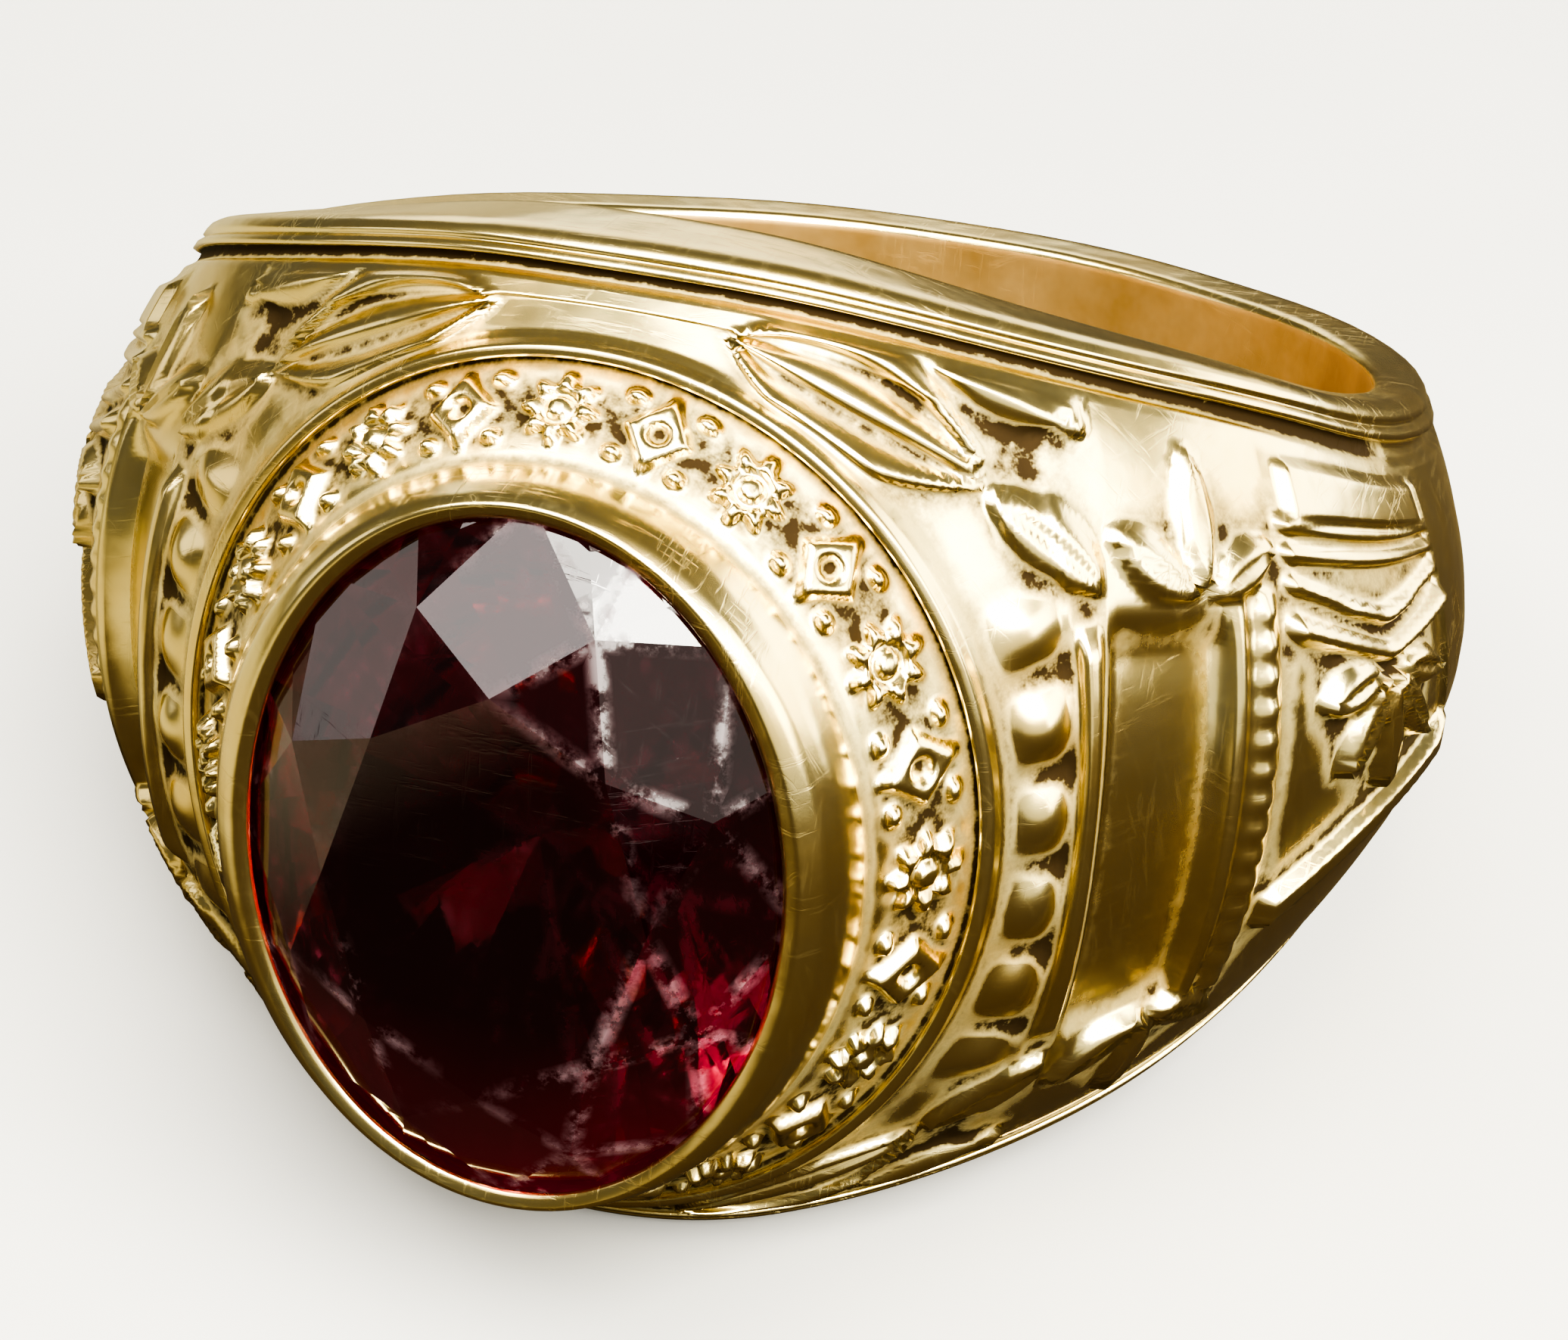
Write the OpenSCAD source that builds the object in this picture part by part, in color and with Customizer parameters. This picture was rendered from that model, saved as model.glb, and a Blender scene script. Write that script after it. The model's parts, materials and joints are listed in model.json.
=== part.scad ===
/* [Finger hole] */
// Inside diameter of the band
bore_d = 19.4; // [16:0.1:22]
// Wall left between the hole and the edges of the band
edge_wall = 1.1; // [0.8:0.05:1.6]

/* [Band] */
// Width of the band at the head, along the finger
head_width = 16.1; // [14:0.1:19]
// Width of the band at the back, along the finger
back_width = 5.2; // [3.5:0.1:7]
// Height of the head's dome above the hole
head_wall = 4.3; // [3.4:0.1:5]
// Height of the back's dome above the hole
back_wall = 1.5; // [1.3:0.05:2]
// How square the head's section is: 2.5 is round, 5 is boxy
dome_power = 3.2; // [2.5:0.1:5]
// Width of the railed border along each edge of the band, at its widest
border_w = 0.95; // [0.7:0.05:1.2]
// Height of the rails in the border
rail_h = 0.08; // [0.04:0.01:0.15]

/* [Stone] */
// Length of the stone, along the finger
stone_len = 10.9; // [9:0.1:12]
// Width of the stone, across the finger
stone_wid = 8.3; // [7:0.1:9.5]
// Height of the stone's girdle above the hole
stone_rise = 5.3; // [4.8:0.1:6]
// Height of the faceted crown above the girdle
crown_h = 1.35; // [0.8:0.05:1.6]
// Depth of the faceted underside below the girdle
pavilion_h = 3; // [2.2:0.1:3.2]
// Thickness of the girdle
girdle_h = 0.2; // [0.1:0.05:0.4]
// Width of the table as a share of the stone
table_share = 0.57; // [0.45:0.01:0.7]
// Gap left all round the stone in its seat
stone_gap = 0.07; // [0.05:0.01:0.15]

/* [Setting] */
// Width of the smooth collar round the stone
collar_w = 0.69; // [0.5:0.01:0.9]
// Height of the collar above the ornament channel
collar_h = 1.15; // [0.8:0.05:1.6]
// Width of the ornament channel round the collar
channel_w = 1.2; // [0.9:0.05:1.4]
// Fall of the ornament channel from the collar to its rim
channel_fall = 1.5; // [1:0.05:1.8]
// Height of the raised bars in the channel
bar_h = 0.28; // [0.1:0.02:0.4]
// Width of the oval rim that closes the channel
rim_w = 0.31; // [0.2:0.02:0.5]
// Height of the oval rim
rim_h = 0.2; // [0.1:0.02:0.3]
// Width of the beaded strip between the oval rim and the shoulders
strip_w = 1.25; // [1:0.05:1.8]
// Height of the beads and of the arched rib beside them
bead_h = 0.2; // [0.1:0.02:0.3]

/* [Shoulders] */
// Depth of the plain sunk panel beside the head
panel_drop = 0.34; // [0.1:0.02:0.5]
// Height of the two upright ribs behind the panel
rib_h = 0.2; // [0.1:0.02:0.3]
// Height of the leaf frame behind the ribs
leaf_h = 0.24; // [0.1:0.02:0.35]

/* [Hidden] */
bore_r = bore_d / 2;
// The body starts as a tube with a narrower hole, so that the finger hole is cut clean through it
core_depth = 0.8;
core_r = bore_r - core_depth;

// One quarter of the head's outline has this many steps on each side of its corner
side_n = 12;
round_n = 8 * side_n;

// Shape of the band round the finger, from the middle of the head to the back
// angle, width share from back 0 to head 1, edge wall share, dome share from back 0 to head 1,
// border share, squareness share
band_shape = [
    [0, 1.00, 1.43, 1.00, 0.62, 1.00],
    [8, 1.00, 1.43, 1.00, 0.62, 1.00],
    [15, 0.965, 1.30, 0.98, 0.65, 0.94],
    [30, 0.835, 1.07, 0.89, 0.70, 0.73],
    [50, 0.64, 0.88, 0.60, 0.80, 0.64],
    [70, 0.405, 0.68, 0.44, 1.00, 0.56],
    [90, 0.245, 0.65, 0.23, 1.00, 0.53],
    [110, 0.15, 0.80, 0.10, 0.80, 0.53],
    [145, 0.03, 1.00, 0.03, 0.60, 0.56],
    [180, 0.00, 1.05, 0.00, 0.55, 0.62]
];

// Cross profile of the border: share of the border width in from the edge, rail share
border_profile = [
    [0.90, -1.8],
    [0.66, -1.8],
    [0.58, 1.0],
    [0.42, 1.0],
    [0.36, -0.5],
    [0.30, 1.0],
    [0.12, 0.9],
    [0.00, -1.0]
];
border_n = len(border_profile);
row_n = 2 * (side_n + border_n + 1) + 1;
row_mid = side_n + border_n + 1;

// Columns of the shoulder and back, as shares of the way from the head to the middle of the back
rib_stations = [0.004, 0.010, 0.018, 0.026, 0.034, 0.042, 0.050, 0.058, 0.064, 0.070, 0.078, 0.083,
    0.089, 0.096, 0.102];
leaf_start = 0.112;
leaf_end = 0.256;
leaf_n = 8;
back_n = 10;
stations = concat(
    rib_stations,
    [for (k = [0:leaf_n]) mix(leaf_start, leaf_end, k / leaf_n)],
    [for (k = [1:back_n - 1]) mix(leaf_end, 1, k / back_n)]
);
station_n = len(stations);

function mix(a, b, t) = a + (b - a) * t;
function clamp01(t) = min(1, max(0, t));
function plateau(x, lo, hi, e) = clamp01(min((x - lo) / e, (hi - x) / e));
function column(i) = [for (r = band_shape) [r[0], r[i]]];
width_col = column(1);
edge_col = column(2);
dome_col = column(3);
border_col = column(4);
power_col = column(5);
function fold(a) = abs(a > 180 ? a - 360 : a);
function eased(a, col) = (lookup(fold(a - 8), col) + lookup(fold(a - 4), col) + lookup(fold(a), col)
    + lookup(fold(a + 4), col) + lookup(fold(a + 8), col)) / 5;
function half_w(a) = mix(back_width, head_width, eased(a, width_col)) / 2;
function edge_r(a) = bore_r + edge_wall * eased(a, edge_col);
function dome_r(a) = bore_r + mix(back_wall, head_wall, eased(a, dome_col));
function skin_r(a, z) = mix(edge_r(a), dome_r(a),
    1 - pow(clamp01(abs(z) / half_w(a)), dome_power * eased(a, power_col)));
function border_at(a) = border_w * eased(a, border_col);
function field_w(a) = half_w(a) - border_at(a);
function on_ring(a, r, z) = [r * sin(a), -r * cos(a), z];

// Half sizes of the oval foot, where the setting meets the band
girdle_x = stone_wid / 2;
girdle_z = stone_len / 2;
// The setting grows less along the finger than across it
grow_share = 0.695;
collar_share = 0.3;
grow_x = collar_w + channel_w + rim_w;
grow_z = grow_share * grow_x;
foot_x = girdle_x + grow_x;
girdle_top = bore_r + stone_rise;
girdle_low = girdle_top - girdle_h;
// The head ends where the beaded strip has its full width, at about this angle
head_end = 32;
head_a = asin((foot_x + strip_w) / dome_r(head_end));

// Relief on the shoulders: t is the share of the way to the back, v the share of the field's half width
panel_span = [0.004, 0.064];
panel_half = 0.56;
rib_spans = [[0.064, 0.083], [0.083, 0.102]];
rib_half = 0.60;
// Ease at the ends of the panel, of the ribs and of the leaves, and along the field's sides
panel_ease = 0.005;
rib_ease = 0.006;
leaf_ease = 0.012;
side_ease = 0.08;
function band_of(x, span, e) = plateau(x, span[0], span[1], e);
function sunk_panel(t, v) = -panel_drop * band_of(t, panel_span, panel_ease)
    * plateau(v, -panel_half, panel_half, side_ease);
function upright_ribs(t, v) = rib_h * plateau(v, -rib_half, rib_half, side_ease)
    * max([for (s = rib_spans) band_of(t, s, rib_ease)]);

// Slanting leaves above and below the panel and the ribs
spray_span = [0.000, 0.104];
spray_rows = [0.66, 0.94];
spray_pitch = 0.049;
spray_slant = 2.1;
function leaf_spray(t, v) = leaf_h * band_of(t, spray_span, leaf_ease)
    * band_of(abs(v), spray_rows, side_ease)
    * (0.5 - 0.5 * cos(360 * (t / spray_pitch + spray_slant * (abs(v) - spray_rows[0]))));

// The leaf frame: p runs from -1 to 1 across it, a plaque and a ridge lie over two chevrons,
// a fan of five leaves hangs below them and a slanting rail closes the frame
leaf_span = [0.104, 0.262];
leaf_half = 0.98;
plaque_rows = [0.81, 0.93];
ridge_rows = [0.68, 0.76];
chevron_rows = [0.35, 0.50];
chevron_rise = 0.12;
fan_leaves = 5;
fan_foot = 0.36;
fan_reach = [0.10, 0.46];
fan_stretch = 0.5;
fan_spread = 80;
rail_mid = -0.23;
rail_rise = 0.15;
rail_half = 0.07;
form_ease = 0.06;
function fan_shape(p, d) = let (q = fan_stretch * p, turn = atan2(q, d))
    abs(turn) < fan_spread
        ? band_of(norm([q, d]), fan_reach, form_ease) * (0.5 + 0.5 * cos(2 * fan_leaves * turn))
        : 0;
function leaf_shape(p, v) = max(
    band_of(v, plaque_rows, form_ease),
    band_of(v, ridge_rows, form_ease),
    band_of(v - chevron_rise * abs(p), chevron_rows, form_ease),
    fan_shape(p, fan_foot - v),
    plateau(v - rail_mid - rail_rise * p, -rail_half, rail_half, form_ease));
function leaf_frame(t, v) = leaf_h * band_of(t, leaf_span, leaf_ease)
    * plateau(v, -leaf_half, leaf_half, side_ease)
    * leaf_shape((2 * t - leaf_start - leaf_end) / (leaf_end - leaf_start), v);
function relief(t, v) = sunk_panel(t, v) + upright_ribs(t, v) + leaf_spray(t, v) + leaf_frame(t, v);

// Columns round the whole ring as pairs of angle and share of the way to the back
columns = concat(
    [for (i = [-side_n:side_n]) [head_a * i / side_n, 0]],
    [for (s = stations) [mix(head_a, 180, s), s]],
    [[180, 1]],
    [for (k = [station_n - 1:-1:0]) [360 - mix(head_a, 180, stations[k]), stations[k]]]
);
column_n = len(columns);

function border_point(a, side, e) = let (z = half_w(a) - border_at(a) * border_profile[e][0])
    on_ring(a, skin_r(a, z) + rail_h * border_profile[e][1], side * z);
function field_point(c, v) = let (a = c[0], z = v * field_w(a))
    on_ring(a, skin_r(a, z) + relief(c[1], v), z);
function grid_point(c, q) = abs(q) <= side_n ? field_point(c, q / side_n)
    : abs(q) <= side_n + border_n ? border_point(c[0], sign(q), abs(q) - side_n - 1)
    : on_ring(c[0], core_r, sign(q) * half_w(c[0]));
grid_points = [for (c = columns) for (q = [-row_mid:row_mid]) grid_point(c, q)];
function grid_id(c, q) = (c % column_n) * row_n + q + row_mid;

// Half sizes of the collar and of the channel, grown from the girdle
collar_x = collar_w;
collar_z = collar_share * collar_w;
chan_x = collar_x + channel_w;
chan_z = mix(collar_z, grow_z, channel_w / (channel_w + rim_w));
// The collar rises above the girdle and its lip leans over the stone
collar_rise = 0.37;
lip_over = 0.22;
lip_level = 0.24;
lip_ease = 0.06;
// The pocket under the stone narrows towards its floor, clear of the culet
pocket_x = 1.7;
pocket_z = 1.9;
pocket_room = 0.5;
// Short slopes at the foot of the collar and of the rim, and at the rim's two top corners
foot_ease = 0.1;
rim_ease = 0.06;
collar_top = girdle_top + collar_rise;
collar_foot = collar_top - collar_h;
foot_level = collar_foot - channel_fall;

// Oval rounds of the setting: growth from the stone's girdle across and along, level, bar share
oval_rounds = [
    [-pocket_x, -pocket_z, girdle_top - pavilion_h - pocket_room, 0],
    [stone_gap, stone_gap, girdle_low - stone_gap, 0],
    [stone_gap, stone_gap, girdle_top + stone_gap, 0],
    [-lip_over, -lip_over, girdle_top + lip_level, 0],
    [-0.6 * lip_over, -0.6 * lip_over, collar_top - lip_ease, 0],
    [lip_ease, lip_ease, collar_top, 0],
    [0.5 * collar_x, 0.5 * collar_z, collar_top - 0.16 * collar_h, 0],
    [0.86 * collar_x, 0.86 * collar_z, collar_top - 0.60 * collar_h, 0],
    [collar_x, collar_z, collar_foot - foot_ease, 0],
    [mix(collar_x, chan_x, 0.2), mix(collar_z, chan_z, 0.2), mix(collar_foot, foot_level, 0.26), 1],
    [mix(collar_x, chan_x, 0.78), mix(collar_z, chan_z, 0.78), mix(collar_foot, foot_level, 0.82), 1],
    [chan_x, chan_z, foot_level - 0.4 * foot_ease, 0],
    [chan_x + rim_ease, chan_z + rim_ease, foot_level + rim_h, 0],
    [grow_x - rim_ease, grow_z - rim_ease, foot_level + 0.8 * rim_h, 0],
    [grow_x, grow_z, foot_level - foot_ease, 0]
];
oval_n = len(oval_rounds);

// The setting follows the finger's curve towards its foot
sag = 0.0075;
function oval_point(r, k) = let (psi = 360 * k / round_n, x = (girdle_x + r[0]) * cos(psi),
    fade = clamp01((r[0] - 0.5 * collar_x) / channel_w), raised = r[3] * bar_h * (k % 4 < 2 ? 1 : 0))
    [x, -(r[2] + raised - sag * fade * x * x), (girdle_z + r[1]) * sin(psi)];

// Rounds between the oval foot and the head's border: share of the way, rib share, bead share
strip_rounds = [
    [0.24, 0.0, 1.0],
    [0.56, 0.0, 1.0],
    [0.68, 0.0, 0.0],
    [0.76, 1.0, 0.0],
    [0.90, 1.0, 0.0]
];
strip_n = len(strip_rounds);
// One bead for each three steps round the oval
bead_steps = 3;
function edge_i(k) = k <= side_n ? side_n : k <= 3 * side_n ? 2 * side_n - k
    : k <= 5 * side_n ? -side_n : k <= 7 * side_n ? k - 6 * side_n : side_n;
function edge_q(k) = k <= side_n ? k : k <= 3 * side_n ? side_n
    : k <= 5 * side_n ? 4 * side_n - k : k <= 7 * side_n ? -side_n : k - 8 * side_n;
function strip_point(s, k) = let (
    foot = oval_point(oval_rounds[oval_n - 1], k),
    outer = grid_points[grid_id(edge_i(k) + side_n, edge_q(k))],
    p = mix(foot, outer, s[0]),
    room = clamp01(norm(outer - foot) / strip_w),
    lift = bead_h * room * (s[1] + s[2] * (k % bead_steps == 1 ? 1 : 0)),
    r = norm([p[0], p[1]]))
    [p[0] * (1 + lift / r), p[1] * (1 + lift / r), p[2]];

head_points = concat(
    [for (r = oval_rounds) for (k = [0:round_n - 1]) oval_point(r, k)],
    [for (s = strip_rounds) for (k = [0:round_n - 1]) strip_point(s, k)]
);
head_rounds = oval_n + strip_n;
head_start = len(grid_points);
function head_id(j, k) = j < head_rounds ? head_start + j * round_n + k % round_n
    : grid_id(edge_i(k % round_n) + side_n, edge_q(k % round_n));
function in_head(c, q) = c < 2 * side_n && q >= -side_n && q < side_n;

body_points = concat(grid_points, head_points);
body_faces = concat(
    [for (c = [0:column_n - 1]) for (q = [-row_mid:row_mid - 1]) if (!in_head(c, q))
        each [[grid_id(c, q), grid_id(c, q + 1), grid_id(c + 1, q + 1)],
            [grid_id(c, q), grid_id(c + 1, q + 1), grid_id(c + 1, q)]]],
    [for (c = [0:column_n - 1])
        each [[grid_id(c, row_mid), grid_id(c, -row_mid), grid_id(c + 1, -row_mid)],
            [grid_id(c, row_mid), grid_id(c + 1, -row_mid), grid_id(c + 1, row_mid)]]],
    [for (j = [0:head_rounds - 1]) for (k = [0:round_n - 1])
        each [[head_id(j, k), head_id(j, k + 1), head_id(j + 1, k + 1)],
            [head_id(j, k), head_id(j + 1, k + 1), head_id(j + 1, k)]]],
    [[for (k = [round_n - 1:-1:0]) head_id(0, k)]]
);

// Stone: eight kites, eight stars and sixteen half facets over a girdle of 32 sides
girdle_n = 32;
star_share = mix(table_share, 1, 0.52);
lower_share = 0.24;
function oval_at(share, deg, level) = [share * girdle_x * cos(deg), -level, share * girdle_z * sin(deg)];
stone_points = concat(
    [for (k = [0:7]) oval_at(table_share, 45 * k, girdle_top + crown_h)],
    [for (k = [0:7]) oval_at(star_share, 45 * k + 22.5,
        girdle_top + crown_h * (1 - star_share * cos(22.5)) / (1 - table_share))],
    [for (k = [0:girdle_n - 1]) oval_at(1, 360 * k / girdle_n, girdle_top)],
    [for (k = [0:girdle_n - 1]) oval_at(1, 360 * k / girdle_n, girdle_low)],
    [for (k = [0:7]) oval_at(lower_share, 45 * k + 22.5,
        girdle_low - pavilion_h * (1 - lower_share * cos(22.5)))],
    [oval_at(0, 0, girdle_low - pavilion_h)]
);
function table_id(k) = k % 8;
function star_id(k) = 8 + k % 8;
function upper_id(k) = 16 + k % girdle_n;
function under_id(k) = 16 + girdle_n + k % girdle_n;
function lower_id(k) = 16 + 2 * girdle_n + k % 8;
culet_id = 24 + 2 * girdle_n;
stone_faces = concat(
    [[for (k = [7:-1:0]) table_id(k)]],
    [for (k = [0:7]) [table_id(k), table_id(k + 1), star_id(k)]],
    [for (k = [0:7]) [table_id(k), star_id(k), upper_id(4 * k), star_id(k + 7)]],
    [for (k = [0:7]) for (j = [0:3]) [star_id(k), upper_id(4 * k + j + 1), upper_id(4 * k + j)]],
    [for (k = [0:girdle_n - 1]) [upper_id(k), upper_id(k + 1), under_id(k + 1), under_id(k)]],
    [for (k = [0:7]) for (j = [0:3]) [lower_id(k), under_id(4 * k + j), under_id(4 * k + j + 1)]],
    [for (k = [0:7]) [culet_id, lower_id(k + 7), under_id(4 * k), lower_id(k)]]
);

// The ring lies on its side: it tips until the head's lower edge and the back's lower edge both touch
lower_edge = concat(
    [for (c = columns) on_ring(c[0], bore_r, -half_w(c[0]))],
    [for (c = columns) border_point(c[0], -1, border_n - 1)]
);
max_tilt = 40;
tilt_steps = 30;
function drop_y(p, t) = p[1] * cos(t) + p[2] * sin(t);
function drop_z(p, t) = p[2] * cos(t) - p[1] * sin(t);
front_edge = [for (p = lower_edge) if (p[1] < 0) p];
back_edge = [for (p = lower_edge) if (p[1] >= 0) p];
function lead(t) = min([for (p = front_edge) drop_z(p, t)]) - min([for (p = back_edge) drop_z(p, t)]);
function settle(lo, hi, n) = n == 0 ? (lo + hi) / 2 : let (m = (lo + hi) / 2)
    lead(m) < 0 ? settle(m, hi, n - 1) : settle(lo, m, n - 1);
rest_tilt = settle(0, max_tilt, tilt_steps);

outer_points = concat(
    [for (p = body_points) if (norm([p[0], p[1]]) > bore_r) p],
    stone_points
);
all_y = [for (p = outer_points) drop_y(p, rest_tilt)];
rest_y = -(min(all_y) + max(all_y)) / 2;
rest_z = -min([for (p = lower_edge) drop_z(p, rest_tilt)]);

module lay_down() {
    translate([0, rest_y, rest_z])
        rotate([-rest_tilt, 0, 0])
            children();
}

module ring_body() {
    color([0.83, 0.69, 0.36])
        lay_down()
            difference() {
                polyhedron(points = body_points, faces = body_faces, convexity = 12);
                cylinder(h = 2 * head_width, r = bore_r, center = true, $fn = 180);
            }
}

module stone() {
    color([0.35, 0.05, 0.10])
        lay_down()
            polyhedron(points = stone_points, faces = stone_faces, convexity = 2);
}

ring_body();
stone();
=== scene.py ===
import json
import math

import bpy
import numpy as np
from mathutils import Matrix, Vector

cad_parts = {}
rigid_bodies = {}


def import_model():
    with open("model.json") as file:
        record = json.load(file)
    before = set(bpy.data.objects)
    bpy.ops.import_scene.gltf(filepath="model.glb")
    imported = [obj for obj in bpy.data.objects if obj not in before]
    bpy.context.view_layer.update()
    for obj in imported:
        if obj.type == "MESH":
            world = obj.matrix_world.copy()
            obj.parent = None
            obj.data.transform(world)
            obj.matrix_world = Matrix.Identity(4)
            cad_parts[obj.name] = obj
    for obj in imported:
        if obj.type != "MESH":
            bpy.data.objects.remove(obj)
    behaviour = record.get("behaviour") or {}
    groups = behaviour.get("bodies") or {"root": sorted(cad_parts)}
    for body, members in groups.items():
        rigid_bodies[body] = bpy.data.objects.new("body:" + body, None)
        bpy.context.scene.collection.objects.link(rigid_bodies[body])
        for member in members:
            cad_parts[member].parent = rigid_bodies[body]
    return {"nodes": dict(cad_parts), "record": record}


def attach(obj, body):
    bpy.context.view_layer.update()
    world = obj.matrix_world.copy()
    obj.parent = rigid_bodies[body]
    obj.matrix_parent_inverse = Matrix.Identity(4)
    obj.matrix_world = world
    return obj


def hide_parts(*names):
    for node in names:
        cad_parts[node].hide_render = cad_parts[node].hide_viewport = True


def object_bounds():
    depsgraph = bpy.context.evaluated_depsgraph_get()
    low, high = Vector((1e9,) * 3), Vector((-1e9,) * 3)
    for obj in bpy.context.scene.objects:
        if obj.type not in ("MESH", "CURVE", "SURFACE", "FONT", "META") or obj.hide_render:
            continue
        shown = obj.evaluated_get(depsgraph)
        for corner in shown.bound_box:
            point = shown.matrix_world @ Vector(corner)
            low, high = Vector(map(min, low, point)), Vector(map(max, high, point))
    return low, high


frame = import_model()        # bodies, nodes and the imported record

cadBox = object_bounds()
mm = 0.001

# The ring is worked out standing square, in mm: x runs across the head, -y out through the stone and z along
# the finger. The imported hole's place and lean then lay it down as the solids lie.
hole = frame["record"]["mounts"][0]
holeCentre = np.array(hole["pos_m"]) / mm
holeAxis = np.array(hole["axis"])
ringTurn = np.array([[1, 0, 0], [0, holeAxis[2], holeAxis[1]], [0, -holeAxis[1], holeAxis[2]]])

band = {
    "boreR": hole["dims"]["r_mm"],
    "headWidth": hole["dims"]["length_mm"],
    "backWidth": 5.2,
    "edgeWall": 1.1,
    "headWall": 4.3,
    "backWall": 1.5,
    "domePower": 3.2,
    "borderW": 0.95,
    "railH": 0.08,
    "cornerRound": 0.12,
    # angle from the head, width share, edge wall share, dome share, border share, squareness share
    "shape": [
        (0, 1.00, 1.43, 1.00, 0.62, 1.00),
        (8, 1.00, 1.43, 1.00, 0.62, 1.00),
        (15, 0.965, 1.30, 0.98, 0.65, 0.94),
        (30, 0.835, 1.07, 0.89, 0.70, 0.73),
        (50, 0.64, 0.88, 0.60, 0.80, 0.64),
        (70, 0.405, 0.68, 0.44, 1.00, 0.56),
        (90, 0.245, 0.65, 0.23, 1.00, 0.53),
        (110, 0.15, 0.80, 0.10, 0.80, 0.53),
        (145, 0.03, 1.00, 0.03, 0.60, 0.56),
        (180, 0.00, 1.05, 0.00, 0.55, 0.62),
    ],
    # share of the border in from the edge, rail share
    "rails": [
        (1.00, 0.0), (0.90, -1.8), (0.66, -1.8), (0.58, 1.0), (0.42, 1.0),
        (0.36, -0.6), (0.30, 1.0), (0.12, 0.9), (0.04, 0.2),
    ],
}

stoneCut = {
    "length": 10.9,
    "width": 8.3,
    "rise": 5.3,
    "crown": 1.35,
    "pavilion": 3.0,
    "girdle": 0.2,
    "tableShare": 0.57,
    "starShare": 0.52,
    "lowerShare": 0.24,
    "girdleSides": 32,
    "gap": 0.07,
}

setting = {
    "collarW": 0.69,
    "collarH": 1.15,
    "collarTop": 0.37,
    "channelW": 1.2,
    "channelFall": 1.5,
    "rimW": 0.31,
    "rimH": 0.2,
    "stripW": 1.25,
    "growShare": 0.695,
    "sag": 0.0075,
    "motifs": 24,
    "motifH": 0.26,
    "motifTurn": 1.875,         # degrees from the stone's side to the first motif
    "floorLean": (0.55, 0.83),  # out and up, square on the channel's floor
    "beads": 32,
    "beadH": 0.26,
}

# The strip outside the oval: shares of its width from the oval out, and mm along the finger from the middle
strip = {
    "beadRow": (0.44, 0.33),
    "beadsEnd": (3.5, 4.3),
    "ribRow": (0.78, 0.88),
    "ribEnd": (3.0, 3.5),
    "grooveRow": (0.08, 0.64),
    "grooveDepth": 0.08,
    "leafRow": (0.10, 0.90),
    "leavesStart": (3.4, 4.0),
}

detail = {
    "fieldRows": 62,
    "shoulderStep": 0.62,
    "shoulderEnd": 76,
    "backStep": 5,
    "borderRows": 27,
    "wallRows": 6,
    "stripRows": 30,
    "seatRows": 9,
    "sectionStep": 0.02,
    "blurWidth": 0.08,
}


def mix(a, b, t):
    return a + (b - a) * t


def smooth(x, lo, hi):
    t = np.clip((x - lo) / (hi - lo), 0, 1)
    return t * t * (3 - 2 * t)


def slab(x, lo, hi, soft):      # 1 between lo and hi, easing to 0 over soft outside them
    return smooth(x, lo - soft, lo) * (1 - smooth(x, hi, hi + soft))


def ridge(x, centre, half):     # one wave of cosine, 1 at the centre and 0 at half away
    return 0.5 + 0.5 * np.cos(np.pi * np.clip((x - centre) / half, -1, 1))


shapeTable = np.array(band["shape"], float)


def eased(angle, column):
    # mean of the table's broken line over a window of 16 degrees round the angle
    offsets = np.linspace(-8, 8, 17)
    folded = np.abs((np.asarray(angle, float)[..., None] + offsets + 180) % 360 - 180)
    return np.interp(folded, shapeTable[:, 0], shapeTable[:, column]).mean(-1)


def halfWidth(angle):
    return mix(band["backWidth"], band["headWidth"], eased(angle, 1)) / 2


def edgeRadius(angle):
    return band["boreR"] + band["edgeWall"] * eased(angle, 2)


def domeRadius(angle):
    return band["boreR"] + mix(band["backWall"], band["headWall"], eased(angle, 3))


def borderWidth(angle):
    return band["borderW"] * eased(angle, 4)


def skinRadius(angle, z):
    # from the edge's radius to the dome's by one minus the width share to a power
    crown = 1 - np.clip(np.abs(z) / halfWidth(angle), 0, 1) ** (band["domePower"] * eased(angle, 5))
    return mix(edgeRadius(angle), domeRadius(angle), crown)


def onRing(angle, radius, z):
    a = np.radians(angle)
    return np.stack(np.broadcast_arrays(radius * np.sin(a), -radius * np.cos(a), z), -1)


girdleX = stoneCut["width"] / 2
girdleZ = stoneCut["length"] / 2
girdleTop = band["boreR"] + stoneCut["rise"]
girdleLow = girdleTop - stoneCut["girdle"]
growX = setting["collarW"] + setting["channelW"] + setting["rimW"]
growZ = setting["growShare"] * growX
headAngle = math.degrees(math.asin((girdleX + growX + setting["stripW"]) / float(domeRadius(32))))


def almond(x, z, start, end, half, bend):
    # offset from a leaf's middle line over the leaf's half width there: the middle line bows as a parabola
    # over the chord from start to end, the half width follows half a sine wave to the power of 0.8
    dx, dz = end[0] - start[0], end[1] - start[1]
    length = math.hypot(dx, dz)
    along = ((x - start[0]) * dx + (z - start[1]) * dz) / length ** 2
    side = ((z - start[1]) * dx - (x - start[0]) * dz) / length
    body = np.sin(np.pi * np.clip(along, 0, 1)) ** 0.8
    offset = (side - bend * 4 * along * (1 - along)) / np.maximum(half * body, 0.02)
    inside = (along > 0) & (along < 1)
    return np.where(inside, offset, 9.0)


def leafForm(offset):
    # a plump leaf with a sunk midrib: one minus the offset squared, less a narrow bell along the middle
    body = np.clip(1 - offset ** 2, 0, 1)
    return body - 0.40 * np.exp(-(offset / 0.20) ** 2) * body


def leafOutline(offset):
    # a raised outline with a plump middle inside it
    o = np.abs(offset)
    return np.clip(ridge(o, 0.78, 0.36) + 0.9 * ridge(o, 0, 0.40), 0, 1)


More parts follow.
